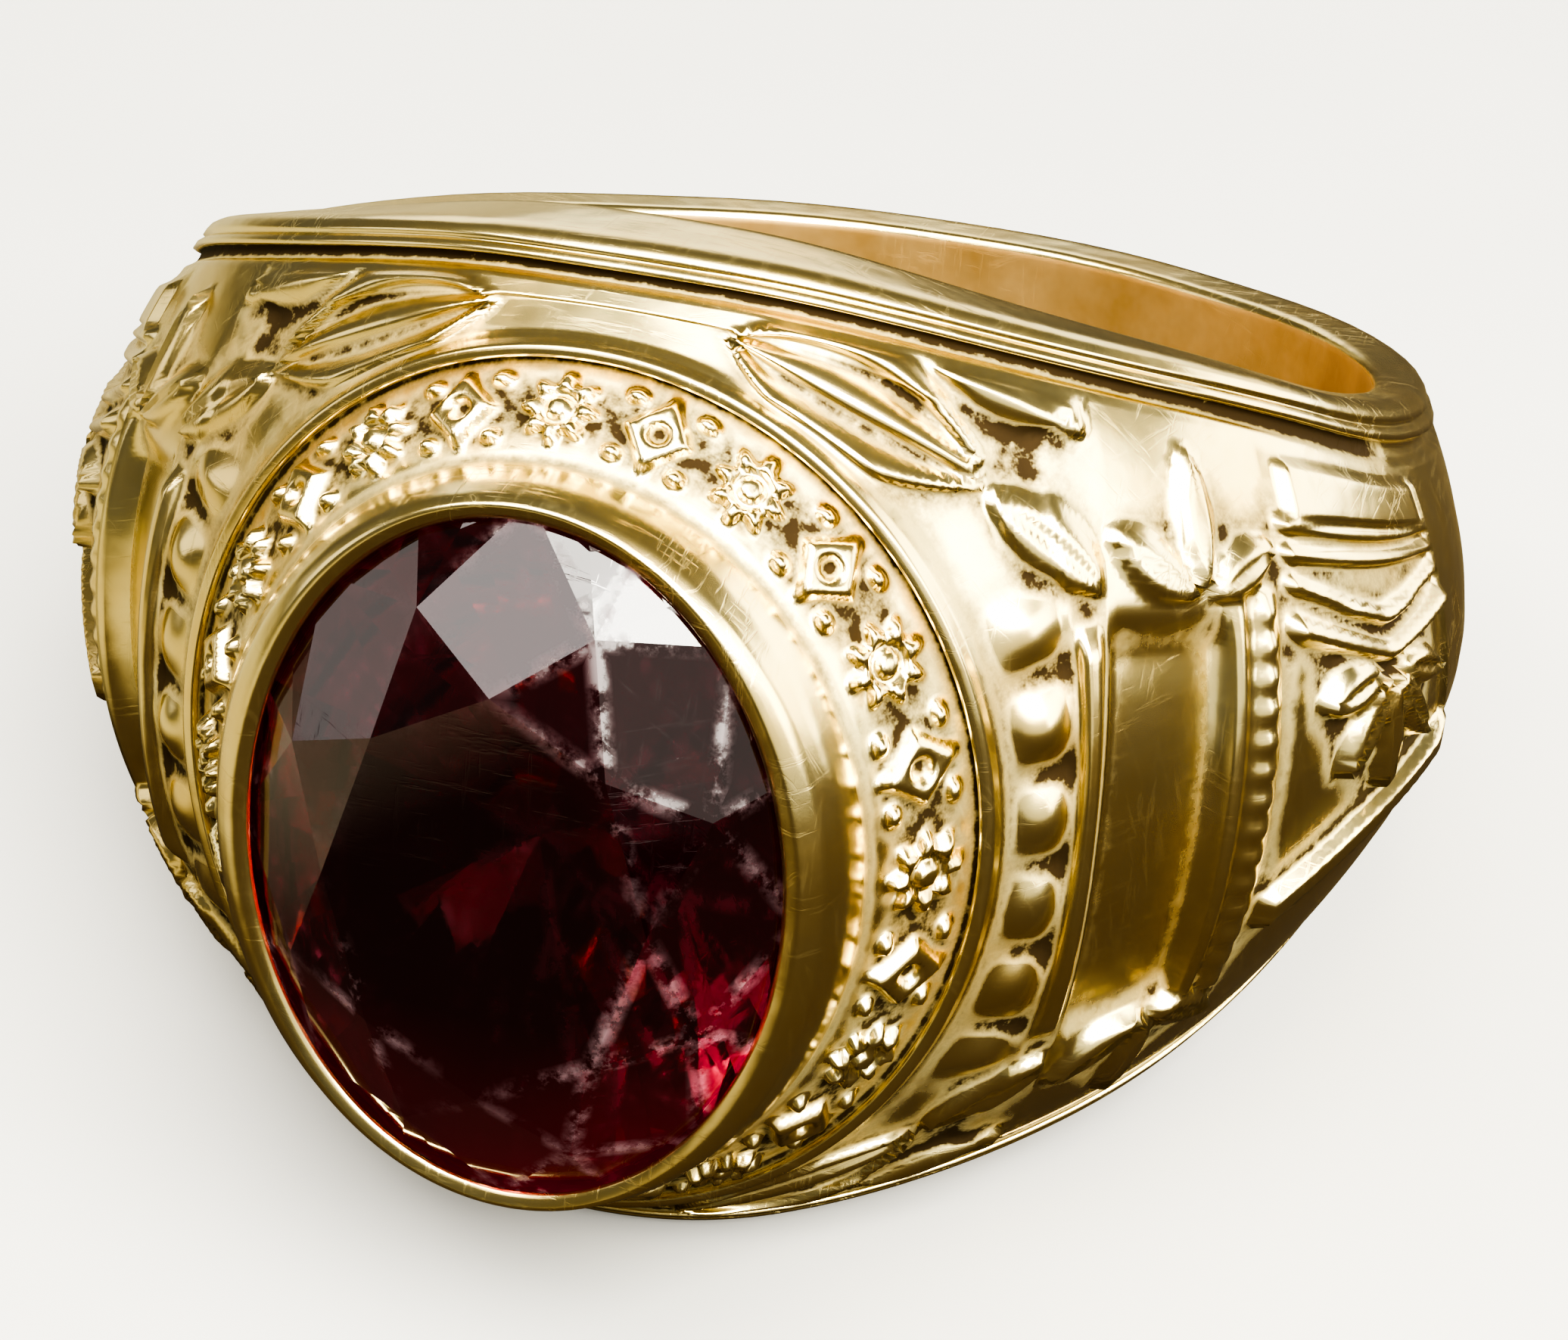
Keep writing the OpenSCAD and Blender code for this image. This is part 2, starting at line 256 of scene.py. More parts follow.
def leafFan(across, up, leaves, root, half):
    # the highest of several leaves from one foot, each given by its lean from upright and its reach
    highest = 0
    for lean, reach in leaves:
        dx, dy = math.sin(math.radians(lean)), math.cos(math.radians(lean))
        offset = almond(across, up, (root * dx, root * dy), (reach * dx, reach * dy), half, 0)
        highest = np.maximum(highest, leafForm(np.clip(offset, -1, 1)))
    return highest


# The shoulder's relief. A is degrees past the head, V is a share of the field's half width, the rest is mm.
relief = {
    "panelA": (0.5, 9.5),
    "panelV": (-0.50, 0.44),
    "panelDepth": 0.32,
    "ribV": (-0.62, 0.60),
    # centre A, half width A, height
    "plainRib": (10.6, 1.05, 0.20),
    "knurledRib": (13.4, 1.55, 0.21),
    "knurlRate": 13,
    "knurlShare": 0.14,
    # leaves: lean from upright in degrees, reach
    "spray": ((-64, 1.95), (0, 2.05), (64, 1.95)),
    "sprayFoot": (7.6, 0.59),           # A, V
    "sprayScale": (0.243, 6.0),         # for one degree, for the field's half width
    "sprayRoot": 0.15,
    "sprayHalf": 0.46,
    "sprayHeight": 0.30,
    "sprayA": (0.3, 15.4),
    "frameMiddle": 26.9,
    "frameHalf": 10.5,
    "frameA": (16.0, 37.6),
    "frameV": (-0.94, 0.95),
    "frameHeight": 0.05,
    # low V, high V, height
    "plaque": (0.81, 0.93, 0.18),
    "ridges": (0.760, 0.685),
    "ridgeHalf": 0.034,
    "ridgeHeight": 0.17,
    "groove": (0.56, 0.64, 0.08),
    # V at the frame's middle, half width V, height
    "chevrons": ((0.500, 0.050, 0.24), (0.385, 0.062, 0.28)),
    "chevronRise": 0.12,
    "fan": ((-76, 1.9), (-38, 2.0), (0, 2.15), (38, 2.0), (76, 1.9)),
    "fanFoot": 0.36,
    "fanScale": (2.36, 4.5),            # for the frame's half, for the field's half width
    "fanRoot": 0.3,
    "fanHalf": 0.47,
    "fanHeight": 0.38,
    "fanTop": (-0.37, -0.30),
    "railMiddle": -0.23,
    "railRise": 0.15,
    "railHeight": 0.30,
    "railClear": (0.28, 0.56),
    "outerLine": (38.6, 0.8, 0.14),
    "outerLineV": (-0.05, 0.92),
}


def sunkPanel(angle, v):
    # share of the panel's depth
    a = np.abs(angle) - headAngle
    return slab(a, *relief["panelA"], 0.4) * slab(v, *relief["panelV"], 0.14)


def leafFrame(p, v):
    # height inside the frame: p runs from -1 to 1 across it, v is the share of the field's half width
    r = relief
    low, high, height = r["plaque"]
    form = height * slab(v, low, high, 0.03) * slab(np.abs(p), -1, 0.90, 0.08)
    bowed = v - 0.02 * p * p
    form += r["ridgeHeight"] * sum(ridge(bowed, at, r["ridgeHalf"]) for at in r["ridges"])
    low, high, depth = r["groove"]
    form -= depth * slab(v, low, high, 0.03)
    chevron = v - r["chevronRise"] * np.abs(p)
    form += sum(height * ridge(chevron, at, half) for at, half, height in r["chevrons"])
    wide, tall = r["fanScale"]
    leaves = leafFan(p * wide, (r["fanFoot"] - v) * tall, r["fan"], r["fanRoot"], r["fanHalf"])
    form = np.maximum(form, r["fanHeight"] * leaves * smooth(-chevron, *r["fanTop"]))
    # the slanting rail: nothing stands below it
    rail = (v - r["railMiddle"] - r["railRise"] * p) * tall
    form *= smooth(rail, *r["railClear"])
    return form + r["railHeight"] * slab(np.abs(rail), -1, 0.17, 0.17) - 0.06 * slab(rail, -9, -0.45, 0.1)


def shoulderRelief(angle, v):
    # height over the shoulder's skin: panel, two ribs, leaves over and under the panel, then the leaf frame
    r = relief
    a = np.abs(angle) - headAngle
    field = halfWidth(angle) - borderWidth(angle)
    lift = -r["panelDepth"] * sunkPanel(angle, v)
    upright = slab(v, *r["ribV"], 0.03)
    knurl = 1 - r["knurlShare"] + r["knurlShare"] * np.sin(v * field * r["knurlRate"])
    at, half, height = r["plainRib"]
    lift += height * upright * ridge(a, at, half) ** 0.8
    at, half, height = r["knurledRib"]
    lift += height * upright * knurl * ridge(a, at, half) ** 0.6

    across = (a - r["sprayFoot"][0]) * r["sprayScale"][0]
    up = (np.abs(v) - r["sprayFoot"][1]) * r["sprayScale"][1]
    leaf = r["sprayHeight"] * leafFan(across, up, r["spray"], r["sprayRoot"], r["sprayHalf"])
    leaf *= slab(a, *r["sprayA"], 0.4)
    lift = np.where(leaf > 0, np.maximum(lift, leaf), lift)

    form = r["frameHeight"] + leafFrame((a - r["frameMiddle"]) / r["frameHalf"], v)
    lift += form * slab(a, *r["frameA"], 0.7) * slab(v, *r["frameV"], 0.04)
    at, half, height = r["outerLine"]
    lift += height * ridge(a, at, half) * slab(v, *r["outerLineV"], 0.06)
    return lift


# Leaves in each of the four corners between the oval and the border.
corner = {
    "across": 0.232,        # mm at the skin for a degree
    # start, end (across, along the finger), half width, bow of the middle line
    "leaves": (
        ((1.9, 7.15), (6.0, 5.30), 0.74, 0.20),
        ((4.7, 7.10), (7.9, 5.75), 0.52, 0.16),
        ((5.9, 5.20), (7.9, 3.75), 0.54, 0.10),
    ),
    "outlinedOver": 0.6,    # leaves of a larger half width are outlined ones
    "outlinedHeight": 0.24,
    "plumpHeight": 0.30,
}


def cornerLeaves(angle, z):
    x = np.abs(angle) * corner["across"]
    lift = np.zeros_like(x)
    for start, end, half, bend in corner["leaves"]:
        offset = almond(x, np.abs(z), start, end, half, bend)
        if half > corner["outlinedOver"]:
            form = corner["outlinedHeight"] * leafOutline(offset)
        else:
            form = corner["plumpHeight"] * leafForm(offset)
        lift = np.maximum(lift, form)
    return lift


# Columns round the ring: even over the head, close on the shoulders, wide over the plain back
sideN = detail["fieldRows"]
roundN = 8 * sideN
shoulder = np.arange(headAngle + detail["shoulderStep"], detail["shoulderEnd"], detail["shoulderStep"])
backCount = int(round((360 - 2 * detail["shoulderEnd"]) / detail["backStep"]))
backStations = np.linspace(detail["shoulderEnd"], 360 - detail["shoulderEnd"], backCount + 1)
headColumns = headAngle * np.arange(-sideN, sideN + 1) / sideN
columnAngle = np.concatenate([headColumns, shoulder, backStations, 360 - shoulder[::-1]])
columnN = len(columnAngle)


def blurLine(points):
    # mean over a window along the line, the ends held
    half = max(1, int(round(detail["blurWidth"] / detail["sectionStep"] / 2)))
    window = 2 * half + 1
    pad = [(half + 1, half)] + [(0, 0)] * (points.ndim - 1)
    total = np.cumsum(np.pad(points, pad, mode="edge"), axis=0)
    return (total[window:] - total[:-window]) / window


def stepCounts(lengths):
    return [max(2, int(math.ceil(length / detail["sectionStep"]))) for length in lengths]


def denseLine(keys, lengths):
    # points along a broken line, at about one step from each other
    out = []
    for k, count in enumerate(stepCounts(lengths)):
        t = np.arange(count) / count
        out.append(mix(keys[k][None], keys[k + 1][None], t.reshape(-1, *([1] * (keys.ndim - 1)))))
    out.append(keys[-1][None])
    return np.concatenate(out)


def borderSection(angle):
    # section from the field's border over the rails, round the edge, across the end face and into the hole
    w, border = halfWidth(angle), borderWidth(angle)
    r, boreR = band["cornerRound"], band["boreR"]
    keys = []
    for share, rail in band["rails"]:
        z = w - border * share
        keys.append(np.stack([skinRadius(angle, z) + band["railH"] * rail, z], -1))
    edge = keys[-1][:, 0]
    keys.append(np.stack([edge - 0.25 * r, w - 0.35 * r], -1))
    keys.append(np.stack([edge - r, w], -1))
    for above, inward in ((1.3, 0), (0.35, 0.35), (0, 1.3), (0, 3.0)):
        keys.append(np.stack([np.full_like(w, boreR + above * r), w - inward * r], -1))
    keys = np.stack(keys)
    lengths = np.linalg.norm(np.diff(keys, axis=0), axis=-1).max(1)
    line = blurLine(denseLine(keys, lengths))
    length = np.append(0, np.cumsum(np.linalg.norm(np.diff(line, axis=0), axis=-1).mean(1)))
    turn = np.linalg.norm(np.diff(line, 2, axis=0), axis=-1).mean(1)
    # rows lie closer where the line bends
    weight = np.append(0, np.cumsum(np.diff(length) * 0.6 + 1.2 * np.append(0, turn)))
    pick = np.interp(np.linspace(0, weight[-1], detail["borderRows"]), weight, np.arange(len(line)))
    return line[np.unique(np.round(pick).astype(int))]      # rows, columns, (radius, z)


def fieldPlaces():
    # angle from the head and share of the half width, for all points of the field
    v = np.arange(-sideN, sideN + 1) / sideN
    folded = np.where(columnAngle > 180, columnAngle - 360, columnAngle)
    return np.meshgrid(folded, v, indexing="ij")


def ringGrid():
    # one closed loop of rows per column: field, top border, hole wall, bottom border
    angle = columnAngle[:, None]
    folded, v = fieldPlaces()
    z = v * (halfWidth(columnAngle) - borderWidth(columnAngle))[:, None]
    lift = shoulderRelief(folded, v) * (np.abs(folded) > headAngle + 0.01)
    field = onRing(angle, skinRadius(angle, z) + lift, z)
    section = borderSection(columnAngle)
    top = onRing(angle, section[1:, :, 0].T, section[1:, :, 1].T)
    bottom = onRing(angle, section[::-1, :, 0].T[:, :-1], -section[::-1, :, 1].T[:, :-1])
    wallZ = np.linspace(section[-1, :, 1], -section[-1, :, 1], detail["wallRows"] + 2)[1:-1].T
    wall = onRing(angle, np.full_like(wallZ, band["boreR"]), wallZ)
    return np.concatenate([field, top, wall, bottom], 1)


def ovalProfile():
    # section of the setting from the seat out to the oval's foot
    c, s = setting, stoneCut
    collarX, collarZ = c["collarW"], 0.3 * c["collarW"]
    chanX = collarX + c["channelW"]
    chanZ = mix(collarZ, growZ, c["channelW"] / (c["channelW"] + c["rimW"]))
    top = girdleTop + c["collarTop"]
    foot = top - c["collarH"]
    low = foot - c["channelFall"]
    # growth of the oval across, its growth along the finger, distance from the ring's axis
    keys = np.array([
        (-1.7, -1.9, band["boreR"] + s["rise"] - s["pavilion"] - 0.5),
        (-0.8, -0.8, girdleLow - 0.8),
        (s["gap"], s["gap"], girdleLow - s["gap"]),
        (s["gap"], s["gap"], girdleTop + s["gap"]),
        (-0.22, -0.22, girdleTop + 0.24),
        (-0.17, -0.17, top - 0.06),
        (0.02, 0.01, top - 0.005),
        (0.16 * collarX, 0.2 * collarZ, top - 0.02 * c["collarH"]),
        (0.5 * collarX, 0.5 * collarZ, top - 0.18 * c["collarH"]),
        (0.80 * collarX, 0.80 * collarZ, top - 0.52 * c["collarH"]),
        (0.94 * collarX, 0.94 * collarZ, top - 0.85 * c["collarH"]),
        (collarX, collarZ, foot - 0.10),
        (mix(collarX, chanX, 0.10), mix(collarZ, chanZ, 0.10), mix(foot, low, 0.10) - 0.05),
        (mix(collarX, chanX, 0.90), mix(collarZ, chanZ, 0.90), mix(foot, low, 0.92) - 0.05),
        (chanX, chanZ, low - 0.04),
        (chanX + 0.05, chanZ + 0.05, low + c["rimH"]),
        (growX - 0.07, growZ - 0.07, low + 0.85 * c["rimH"]),
        (growX, growZ, low - 0.1),
    ])
    lengths = np.linalg.norm(np.diff(keys, axis=0), axis=1)
    line = blurLine(denseLine(keys, lengths))
    marks = np.cumsum([0] + stepCounts(lengths))
    line[0] = keys[0]
    line[-1] = keys[-1]
    # first key, last key, rows: seat, lip, collar, channel, rim
    parts = ((0, 3, 5), (3, 7, 12), (7, 11, 16), (11, 14, 36), (14, 17, 12))
    pick = np.concatenate([np.linspace(marks[a], marks[b], n, endpoint=False) for a, b, n in parts])
    pick = np.append(pick, marks[-1])
    index = np.arange(len(line))
    rows = np.stack([np.interp(pick, index, line[:, k]) for k in range(3)], -1)
    # 0 to 1 across the channel's floor
    inChannel = (pick - marks[12]) / (marks[13] - marks[12])
    return rows, inChannel


# The motifs in the channel, in units of about half the channel's width: half sizes run round and across it.
motifs = {
    "petals": 8,
    "petalDepth": 0.17,
    "rosetteHalf": (0.68, 0.86),
    "eyeRing": (0.36, 0.17),
    "lozengeHalf": (0.62, 0.90),
    "pitR": (0.10, 0.30),
    "cornerBead": (0.55, 0.62),
    "cornerBeadR": (0.06, 0.24),
}


def motifHeight(turn, across):
    # rosettes and pierced lozenges by turns: turn is counted in motifs, across runs 0 to 1 over the channel
    m = motifs
    index = np.floor(turn + 0.5)
    u = (turn - index) * 1.6
    w = (across - 0.5) * 1.9
    halfU, halfW = m["rosetteHalf"]
    out = np.hypot(u / halfU, w / halfW)
    edge = 0.76 + m["petalDepth"] * np.cos(m["petals"] * np.arctan2(w / halfW, u / halfU))
    rosette = 1 - smooth(out, edge - 0.16, edge + 0.08) - 0.75 * ridge(out, *m["eyeRing"])
    halfU, halfW = m["lozengeHalf"]
    corners = np.abs(u) / halfU + np.abs(w) / halfW
    pit = 1 - smooth(np.hypot(u / 0.8, w), *m["pitR"])
    lozenge = 1 - smooth(corners, 0.66, 1.10) - 0.85 * pit
    besideU, besideW = m["cornerBead"]
    for side in (-besideW, besideW):
        lozenge += 0.8 * (1 - smooth(np.hypot(np.abs(u) - besideU, w - side), *m["cornerBeadR"]))
    return np.clip(np.where(index % 2 == 0, rosette, lozenge), 0, 1)


def squareBorder():
    # column and row, in the grid, of the point on the head's square border that each ray of the oval runs to
    k = np.arange(roundN)
    n = sideN
    bounds = [k <= n, k <= 3 * n, k <= 5 * n, k <= 7 * n]
    column = np.select(bounds, [n + 0 * k, 2 * n - k, -n + 0 * k, k - 6 * n], n)
    row = np.select(bounds, [k, n + 0 * k, 4 * n - k, -n + 0 * k], k - 8 * n)
    return column + n, row + n


def stripLift(skin, share, turn, room):
    # height over the plain strip from the oval to the square border: beads, a rib, a groove, corner leaves
    beadTurn = turn * setting["beads"] / setting["motifs"] + 0.25
    beads = ridge(beadTurn % 1, 0.5, 0.46)[None]
    uneven = 0.84 + 0.16 * np.sin(2.4 * np.floor(beadTurn))
    bead = uneven * np.clip(beads * ridge(share, *strip["beadRow"]), 0, 1) ** 0.55
    along = np.abs(skin[..., 2])
    rib = slab(share, *strip["ribRow"], 0.07)
    lift = setting["beadH"] * room * (1 - smooth(along, *strip["beadsEnd"])) * bead
    lift += setting["beadH"] * room * rib * (1 - smooth(along, *strip["ribEnd"]))
    lift -= strip["grooveDepth"] * room * slab(share, *strip["grooveRow"], 0.06)
    angle = np.degrees(np.arctan2(skin[..., 0], -skin[..., 1]))
    leaves = cornerLeaves(angle, along) * smooth(along, *strip["leavesStart"])
    return lift + leaves * slab(share, *strip["leafRow"], 0.08)


def settingDisc(grid, edgeColumn, edgeRow):
    # rounds of the oval from the stone's seat to its foot, then straight to the head's square border
    rows, inChannel = ovalProfile()
    psi = 2 * np.pi * np.arange(roundN) / roundN
    outX, outZ = np.cos(psi)[None], np.sin(psi)[None]
    x = (girdleX + rows[:, :1]) * outX
    z = (girdleZ + rows[:, 1:2]) * outZ
    fade = np.clip((rows[:, 0] - 0.5 * setting["collarW"]) / setting["channelW"], 0, 1)[:, None]
    level = rows[:, 2:] - setting["sag"] * fade * x * x
    turn = (np.degrees(psi) - setting["motifTurn"]) / (360 / setting["motifs"])
    motif = motifHeight(turn[None] + 0 * x, inChannel[:, None] + 0 * x)
    motif *= ((inChannel > 0) & (inChannel < 1))[:, None] * setting["motifH"]
    out, up = setting["floorLean"]
    oval = np.stack([x + out * motif * outX, -(level + up * motif), z + out * motif * outZ], -1)

    border = grid[edgeColumn, edgeRow]
    share = np.linspace(0, 1, detail["stripRows"] + 2)[1:-1, None, None]
    skin = mix(oval[-1][None], border[None], share)
    room = np.clip(np.linalg.norm(border - oval[-1], axis=-1) / setting["stripW"], 0, 1)[None]
    lift = stripLift(skin, share[..., 0], turn, room)
    skin[..., :2] *= (1 + lift / np.hypot(skin[..., 0], skin[..., 1]))[..., None]
    return np.concatenate([oval, skin])


def meshObject(name, points, quads, extra=()):
    # laid down with the ring and clipped just inside the solids' box; only the points in use are kept
    used = np.unique(np.concatenate([quads.ravel()] + [np.ravel(e) for e in extra]))
    renumber = np.full(len(points), -1)
    renumber[used] = np.arange(len(used))
    mesh = bpy.data.meshes.new(name)
    faces = renumber[quads].tolist() + [renumber[np.array(e)].tolist() for e in extra]
    placed = (points[used] @ ringTurn.T + holeCentre) * mm
    placed = np.clip(placed, np.array(cadBox[0]) + 2e-6, np.array(cadBox[1]) - 2e-6)
    mesh.from_pydata(placed.tolist(), [], faces)
    mesh.validate()
    obj = bpy.data.objects.new(name, mesh)
    bpy.context.scene.collection.objects.link(obj)
    return obj, used


def meanAlong(block, half, axis, closed):
    # mean of each point and its neighbours along one axis of the block, round a closed axis or up to its ends
    count = block.shape[axis]
    index = np.arange(count) + np.arange(-half, half + 1)[:, None]
    index = index % count if closed else np.clip(index, 0, count - 1)
    return sum(np.take(block, row, axis) for row in index) / len(index)


def cavityOf(block, normals, halves, closed):
    # how far each point lies below the mean of its neighbourhood, along its normal
    mean = block
    for axis in (0, 1):
        mean = meanAlong(mean, halves[axis], axis, closed[axis])
    depth = ((mean - block) * normals).sum(-1)
    # a mean over the nearest points keeps the mesh's steps out of the mask
    for axis in (0, 1):
        depth = meanAlong(depth, 1, axis, closed[axis])
    return depth


# Where the gold's patina and painted shade lie: the hollows are painted dark, partly as patina and partly as
# shade
patina = {
    # points each way over the grid, share in the depth
    "neighbourhoods": (((3, 4), 0.6), ((7, 10), 0.4)),
    "panelRubbed": 0.9,
    "holeSkin": (0.1, 0.2),     # mm over the hole's wall
    "plainFrom": (66, 73),      # degrees from the head
}


def bodyCavity(grid, disc, normals):
    # depth of each point's hollow
    columns, rows = grid.shape[:2]
    gridNormals = normals[:columns * rows].reshape(grid.shape)
    discNormals = normals[columns * rows:].reshape(disc.shape)
    gridDepth, discDepth = 0, 0
    for halves, share in patina["neighbourhoods"]:
        gridDepth = gridDepth + share * cavityOf(grid, gridNormals, halves, (True, True))
        discDepth = discDepth + share * cavityOf(disc, discNormals, halves, (False, True))
    # the panel is rubbed clean, and the plain hole and back have no hollows to hold patina or painted shade
    folded, v = fieldPlaces()
    rubbed = np.zeros((columns, rows))
    rubbed[:, :2 * sideN + 1] = patina["panelRubbed"] * sunkPanel(folded, v)
    inHole = 1 - smooth(np.hypot(grid[..., 0], grid[..., 1]) - band["boreR"], *patina["holeSkin"])
    onBack = smooth(np.abs(folded[:, :1]), *patina["plainFrom"])
    rubbed = np.maximum(np.maximum(rubbed, inHole), onBack)
    return np.concatenate([(gridDepth * (1 - rubbed)).ravel(), discDepth.ravel()])


def holeFaces(mesh, inner):
    # the faces with all their points on the hole's wall take the second material
    corners = np.zeros(len(mesh.loops), np.int32)
    mesh.loops.foreach_get("vertex_index", corners)
    starts = np.zeros(len(mesh.polygons), np.int32)
    mesh.polygons.foreach_get("loop_start", starts)
    slots = np.minimum.reduceat(inner[corners].astype(np.int32), starts)
    mesh.polygons.foreach_set("material_index", slots)


def setLayer(mesh, name, domain, values):
    layer = mesh.attributes.new(name, "FLOAT", domain)
    layer.data.foreach_set("value", values.astype(np.float32).ravel())


def buildBody():
    # the head's square of the grid is left out, and the setting's disc takes its place
    grid = ringGrid()
    edgeColumn, edgeRow = squareBorder()
    disc = settingDisc(grid, edgeColumn, edgeRow)
    rowN = grid.shape[1]
    gridId = np.arange(columnN * rowN).reshape(columnN, rowN)
    discId = columnN * rowN + np.arange(disc.shape[0] * roundN).reshape(disc.shape[0], roundN)
    discId = np.concatenate([discId, gridId[edgeColumn, edgeRow][None]])
    nextColumn = np.roll(gridId, -1, 0)
    nextRow, nextBoth = np.roll(gridId, -1, 1), np.roll(nextColumn, -1, 1)
    quads = np.stack([gridId, nextColumn, nextBoth, nextRow], -1)
    keep = np.ones((columnN, rowN), bool)
    keep[:2 * sideN, :2 * sideN] = False
    discNext = np.roll(discId, -1, 1)
    discQuads = np.stack([discId[:-1], discId[1:], discNext[1:], discNext[:-1]], -1)
    points = np.concatenate([grid.reshape(-1, 3), disc.reshape(-1, 3)])
    allQuads = np.concatenate([quads[keep], discQuads.reshape(-1, 4)])
    body, used = meshObject("ring_body_cast", points, allQuads, [discId[0]])
    mesh = body.data
    mesh.shade_smooth()

    normals = np.zeros(len(used) * 3, np.float32)
    mesh.vertex_normals.foreach_get("vector", normals)
    standing = np.zeros((len(points), 3))
    standing[used] = normals.reshape(-1, 3) @ ringTurn
    # depth of the hollows, which the gold paints dark as patina and painted shade
    setLayer(mesh, "cavity", "POINT", bodyCavity(grid, disc, standing)[used] / goldLook["hollow"])
    # the rows of the stone's seat, painted dark as shade under the stone
    seat = np.zeros(len(points))
    seat[discId[:detail["seatRows"]].ravel()] = 1
    setLayer(mesh, "seat", "POINT", seat[used])
    holeFaces(mesh, np.hypot(points[used, 0], points[used, 1]) < band["boreR"] + 0.02)
    print("ring body:", len(mesh.vertices), "points,", len(mesh.polygons), "faces")
    return body


def stoneOval(share, degrees, level):
    # points on an oval that is a share of the girdle's, at a distance from the ring's axis
    a = np.radians(degrees)
    x = share * girdleX * np.cos(a)
    z = share * girdleZ * np.sin(a)
    return np.stack(np.broadcast_arrays(x, -level, z), -1)


def stonePoints():
    # table, star tips, girdle top and bottom, lower facet tips and the culet
    s = stoneCut
    k = np.arange(8)
    turn = np.arange(s["girdleSides"]) * 360 / s["girdleSides"]
    tableTop = girdleTop + s["crown"]
    culetLevel = girdleLow - s["pavilion"]
    halfStep = math.cos(math.radians(22.5))
    starShare = mix(s["tableShare"], 1, s["starShare"])
    starLevel = girdleTop + s["crown"] * (1 - starShare * halfStep) / (1 - s["tableShare"])
    lowLevel = girdleLow - s["pavilion"] * (1 - s["lowerShare"] * halfStep)
    return np.concatenate([
        stoneOval(s["tableShare"], 45 * k, tableTop),
        stoneOval(starShare, 45 * k + 22.5, starLevel),
        stoneOval(1, turn, girdleTop),
        stoneOval(1, turn, girdleLow),
        stoneOval(s["lowerShare"], 45 * k + 22.5, lowLevel),
        stoneOval(0, np.zeros(1), culetLevel),
    ])


def stoneFacets():
    n = stoneCut["girdleSides"]
    stars, upper = 8, 16
    under = upper + n
    lower = under + n
    culet = lower + 8
    facets = [list(range(7, -1, -1))]
    for k in range(8):
        star, starBefore = stars + k, stars + (k + 7) % 8
        low, lowBefore = lower + k, lower + (k + 7) % 8
        facets.append([k, (k + 1) % 8, star])
        facets.append([k, star, upper + 4 * k, starBefore])
        facets.append([culet, lowBefore, under + 4 * k, low])
        for half in (0, 2):
            a, b, c = (4 * k + half) % n, (4 * k + half + 1) % n, (4 * k + half + 2) % n
            facets.append([star, upper + c, upper + b, upper + a])
            facets.append([low, under + a, under + b, under + c])
    for k in range(n):
        after = (k + 1) % n
        facets.append([upper + k, upper + after, under + after, under + k])
    return facets


def buildStone():
    # each facet is a fan round its middle, so that a corner layer can hold the distance to the facet's edge
    points = stonePoints()
    facets = stoneFacets()
    middles = np.array([points[f].mean(0) for f in facets])
    tris, reach = [], []
    for i, f in enumerate(facets):
        for b, a in zip(f, f[1:] + f[:1]):
            side = points[b] - points[a]
            away = np.linalg.norm(np.cross(side, middles[i] - points[a])) / np.linalg.norm(side)
            tris.append((a, b, len(points) + i))
            reach.append((0.0, 0.0, away))
    allPoints = np.concatenate([points, middles])
    stone, used = meshObject("oval_stone", allPoints, np.array(tris))
    mesh = stone.data
    mesh.shade_flat()
    setLayer(mesh, "facetEdge", "CORNER", np.array(reach))
    # 0 on the stone's axis and 1 at its girdle
    setLayer(mesh, "fromAxis", "POINT", np.hypot(allPoints[used, 0] / girdleX, allPoints[used, 2] / girdleZ))
    print("stone:", len(facets), "facets")
    return stone


def newMaterial(name):
    material = bpy.data.materials.new(name)
    material.use_nodes = True
    tree = material.node_tree
    return material, tree, tree.nodes["Principled BSDF"]


def addNode(tree, kind, values=None, **settings):
    node = tree.nodes.new(kind)
    for key, value in settings.items():
        setattr(node, key, value)
    for key, value in (values or {}).items():
        node.inputs[key].default_value = value
    return node


def ramp(tree, source, stops):
    # grey ramp from pairs of place and value
    node = addNode(tree, "ShaderNodeValToRGB")
    elements = node.color_ramp.elements
    while len(elements) > 1:
        elements.remove(elements[-1])
    elements[0].position = stops[0][0]
    elements[0].color = (*[stops[0][1]] * 3, 1)
    for place, value in stops[1:]:
        element = elements.new(place)
        element.color = (value, value, value, 1)
    tree.links.new(source, node.inputs["Fac"])
    return node.outputs["Color"]


def mathNode(tree, operation, a, b):
    node = addNode(tree, "ShaderNodeMath", operation=operation)
    for i, value in enumerate((a, b)):
        if isinstance(value, (int, float)):
            node.inputs[i].default_value = value
        else:
            tree.links.new(value, node.inputs[i])
    return node.outputs[0]


def mixColour(tree, factor, a, b):
    # sockets 0, 6 and 7 are the factor and the two colours of a mix node that is set to colours
    node = addNode(tree, "ShaderNodeMix", data_type="RGBA")
    for socket, value in ((0, factor), (6, a), (7, b)):
        if isinstance(value, (tuple, float)):
            node.inputs[socket].default_value = value
        else:
            tree.links.new(value, node.inputs[socket])
    return node.outputs[2]


def noiseAt(tree, place, scale, detail, roughness=0.5):
    node = addNode(tree, "ShaderNodeTexNoise", {"Scale": scale, "Detail": detail, "Roughness": roughness})
    tree.links.new(place, node.inputs["Vector"])
    return node.outputs["Fac"]


# The scratches run three ways: the turn of each, and where it is stretched.
scratchWays = (
    ((0.3, 0.5, 0.2), (1, 14, 1)),
    ((1.1, 0.2, 0.9), (12, 1, 1)),
    ((0.2, 1.2, 2.0), (1, 1, 13)),
)


